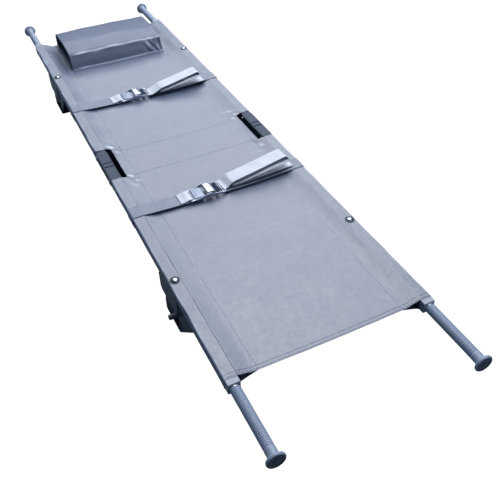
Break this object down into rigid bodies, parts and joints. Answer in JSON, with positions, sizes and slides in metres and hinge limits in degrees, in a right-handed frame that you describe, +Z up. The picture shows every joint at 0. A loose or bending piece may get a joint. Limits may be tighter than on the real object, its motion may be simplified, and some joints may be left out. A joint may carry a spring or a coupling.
{
  "type": "rescue stretcher",
  "caption": "Folding rescue stretcher: two hinged rails with sliding handles, skid feet, folding cross struts, a fabric bed, a head rest and two buckled belts.",
  "frame": {"origin": "on the ground below the middle of the fabric bed, centred between the handles", "axes": "+Y towards the head rest, +X to the right, +Z up"},
  "size_m": [0.612, 2.374, 0.202],
  "materials": {
    "rail_aluminium": "satin",
    "end_cap_plastic": "matt",
    "hinge_metal": "satin",
    "bracket_steel": "satin",
    "bolt_steel": "polished",
    "skid_plastic": "matt",
    "bed_fabric": "coated weave",
    "belt_webbing": "woven",
    "handle_tube_metal": "satin",
    "grip_rubber": "ribbed",
    "buckle_steel": "polished"
  },
  "bodies": {
    "left_foot_rail_unit": {"left_foot_rail": "rail_aluminium", "left_foot_end_cap": "end_cap_plastic", "left_foot_hinge_lug": "hinge_metal", "left_foot_skid_bracket": "bracket_steel", "left_foot_rail_bolt": "bolt_steel", "left_foot_skid": "skid_plastic", "left_foot_sleeve": "bed_fabric", "left_foot_belt_loop": "belt_webbing", "foot_bed_panel": "bed_fabric", "foot_belt_spans": "belt_webbing"},
    "left_foot_handle": {"left_foot_handle_tube": "handle_tube_metal", "left_foot_grip": "grip_rubber"},
    "left_foot_strut": {"left_foot_strut_arm": "bracket_steel"},
    "left_head_rail_unit": {"left_head_rail": "rail_aluminium", "left_head_end_cap": "end_cap_plastic", "left_head_hinge_lug": "hinge_metal", "left_head_skid_bracket": "bracket_steel", "left_head_rail_bolt": "bolt_steel", "left_head_skid": "skid_plastic", "left_head_sleeve": "bed_fabric", "left_head_belt_loop": "belt_webbing", "head_bed_panel": "bed_fabric", "head_belt_spans": "belt_webbing", "pillow": "bed_fabric"},
    "left_head_handle": {"left_head_handle_tube": "handle_tube_metal", "left_head_grip": "grip_rubber"},
    "left_head_strut": {"left_head_strut_arm": "bracket_steel"},
    "left_link": {"left_link": "hinge_metal", "left_link_pivot_bolts": "bolt_steel", "middle_bed_panel": "bed_fabric"},
    "right_foot_rail_unit": {"right_foot_rail": "rail_aluminium", "right_foot_end_cap": "end_cap_plastic", "right_foot_hinge_lug": "hinge_metal", "right_foot_skid_bracket": "bracket_steel", "right_foot_rail_bolt": "bolt_steel", "right_foot_skid": "skid_plastic", "right_foot_sleeve": "bed_fabric", "right_foot_belt_loop": "belt_webbing"},
    "right_foot_handle": {"right_foot_handle_tube": "handle_tube_metal", "right_foot_grip": "grip_rubber"},
    "right_foot_strut": {"right_foot_strut_arm": "bracket_steel"},
    "right_head_rail_unit": {"right_head_rail": "rail_aluminium", "right_head_end_cap": "end_cap_plastic", "right_head_hinge_lug": "hinge_metal", "right_head_skid_bracket": "bracket_steel", "right_head_rail_bolt": "bolt_steel", "right_head_skid": "skid_plastic", "right_head_sleeve": "bed_fabric", "right_head_belt_loop": "belt_webbing"},
    "right_head_handle": {"right_head_handle_tube": "handle_tube_metal", "right_head_grip": "grip_rubber"},
    "right_head_strut": {"right_head_strut_arm": "bracket_steel"},
    "right_link": {"right_link": "hinge_metal", "right_link_pivot_bolts": "bolt_steel"},
    "foot_buckle": {"foot_buckle_frame": "buckle_steel", "foot_belt_tail": "belt_webbing"},
    "foot_buckle_lever": {"foot_buckle_lever": "buckle_steel"},
    "head_buckle": {"head_buckle_frame": "buckle_steel", "head_belt_tail": "belt_webbing"},
    "head_buckle_lever": {"head_buckle_lever": "buckle_steel"}
  },
  "joints": [
    {"name": "strut_fold", "type": "hinge", "parent": "left_foot_rail_unit", "child": "left_foot_strut", "pos_m": [-0.235, -0.6265, 0.105], "axis": [0, 0, 1], "range_deg": [0, 80], "deforming": ["foot_bed_panel", "middle_bed_panel", "head_bed_panel", "pillow", "foot_belt_spans", "head_belt_spans", "foot_belt_tail", "head_belt_tail"]},
    {"name": "foot_strut_knee", "type": "hinge", "parent": "left_foot_strut", "child": "right_foot_strut", "pos_m": [0, -0.6265, 0.105], "axis": [0, 0, 1], "range_deg": [-160, 0]},
    {"name": "right_rail_swing", "type": "hinge", "parent": "right_foot_strut", "child": "right_foot_rail_unit", "pos_m": [0.235, -0.6265, 0.105], "axis": [0, 0, 1], "range_deg": [0, 80]},
    {"name": "head_strut_fold", "type": "hinge", "parent": "left_head_rail_unit", "child": "left_head_strut", "pos_m": [-0.235, 0.6435, 0.105], "axis": [0, 0, -1], "range_deg": [0, 80]},
    {"name": "head_strut_knee", "type": "hinge", "parent": "left_head_strut", "child": "right_head_strut", "pos_m": [0, 0.6435, 0.105], "axis": [0, 0, -1], "range_deg": [-160, 0]},
    {"name": "mid_fold", "type": "hinge", "parent": "left_foot_rail_unit", "child": "left_link", "pos_m": [-0.2633, -0.109, 0.1333], "axis": [1, 0, 0], "range_deg": [0, 90]},
    {"name": "left_head_fold", "type": "hinge", "parent": "left_link", "child": "left_head_rail_unit", "pos_m": [-0.2633, 0.039, 0.1333], "axis": [1, 0, 0], "range_deg": [0, 90]},
    {"name": "right_link_fold", "type": "hinge", "parent": "right_foot_rail_unit", "child": "right_link", "pos_m": [0.2633, -0.109, 0.1333], "axis": [1, 0, 0], "range_deg": [0, 90]},
    {"name": "right_head_fold", "type": "hinge", "parent": "right_link", "child": "right_head_rail_unit", "pos_m": [0.2633, 0.039, 0.1333], "axis": [1, 0, 0], "range_deg": [0, 90]},
    {"name": "left_foot_handle_slide", "type": "slide", "parent": "left_foot_rail_unit", "child": "left_foot_handle", "axis": [0, 1, 0], "range_m": [0, 0.184]},
    {"name": "left_head_handle_slide", "type": "slide", "parent": "left_head_rail_unit", "child": "left_head_handle", "axis": [0, -1, 0], "range_m": [0, 0.184]},
    {"name": "right_foot_handle_slide", "type": "slide", "parent": "right_foot_rail_unit", "child": "right_foot_handle", "axis": [0, 1, 0], "range_m": [0, 0.184]},
    {"name": "right_head_handle_slide", "type": "slide", "parent": "right_head_rail_unit", "child": "right_head_handle", "axis": [0, -1, 0], "range_m": [0, 0.184]},
    {"name": "foot_buckle_shift", "type": "slide", "parent": "left_foot_rail_unit", "child": "foot_buckle", "axis": [-0.9968, 0, 0.0803], "range_m": [0, 0.151]},
    {"name": "foot_buckle_release", "type": "hinge", "parent": "foot_buckle", "child": "foot_buckle_lever", "pos_m": [-0.043, -0.311, 0.1543], "axis": [0, -1, 0], "range_deg": [0, 70], "stiffness_Nm_per_rad": 0.3},
    {"name": "head_buckle_shift", "type": "slide", "parent": "left_head_rail_unit", "child": "head_buckle", "axis": [-0.9968, 0, 0.0803], "range_m": [0, 0.151]},
    {"name": "head_buckle_release", "type": "hinge", "parent": "head_buckle", "child": "head_buckle_lever", "pos_m": [-0.043, 0.365, 0.1543], "axis": [0, -1, 0], "range_deg": [0, 70], "stiffness_Nm_per_rad": 0.3}
  ],
  "couplings": [
    {"joint": "foot_strut_knee", "follows": "strut_fold", "ratio": -2},
    {"joint": "right_rail_swing", "follows": "strut_fold", "ratio": 1},
    {"joint": "head_strut_fold", "follows": "strut_fold", "ratio": 1},
    {"joint": "head_strut_knee", "follows": "strut_fold", "ratio": -2},
    {"joint": "left_head_fold", "follows": "mid_fold", "ratio": 1},
    {"joint": "right_link_fold", "follows": "mid_fold", "ratio": 1},
    {"joint": "right_head_fold", "follows": "mid_fold", "ratio": 1},
    {"joint": "foot_buckle_shift", "follows": "strut_fold", "m_per_rad": 0.10706},
    {"joint": "head_buckle_shift", "follows": "strut_fold", "m_per_rad": 0.10706}
  ]
}
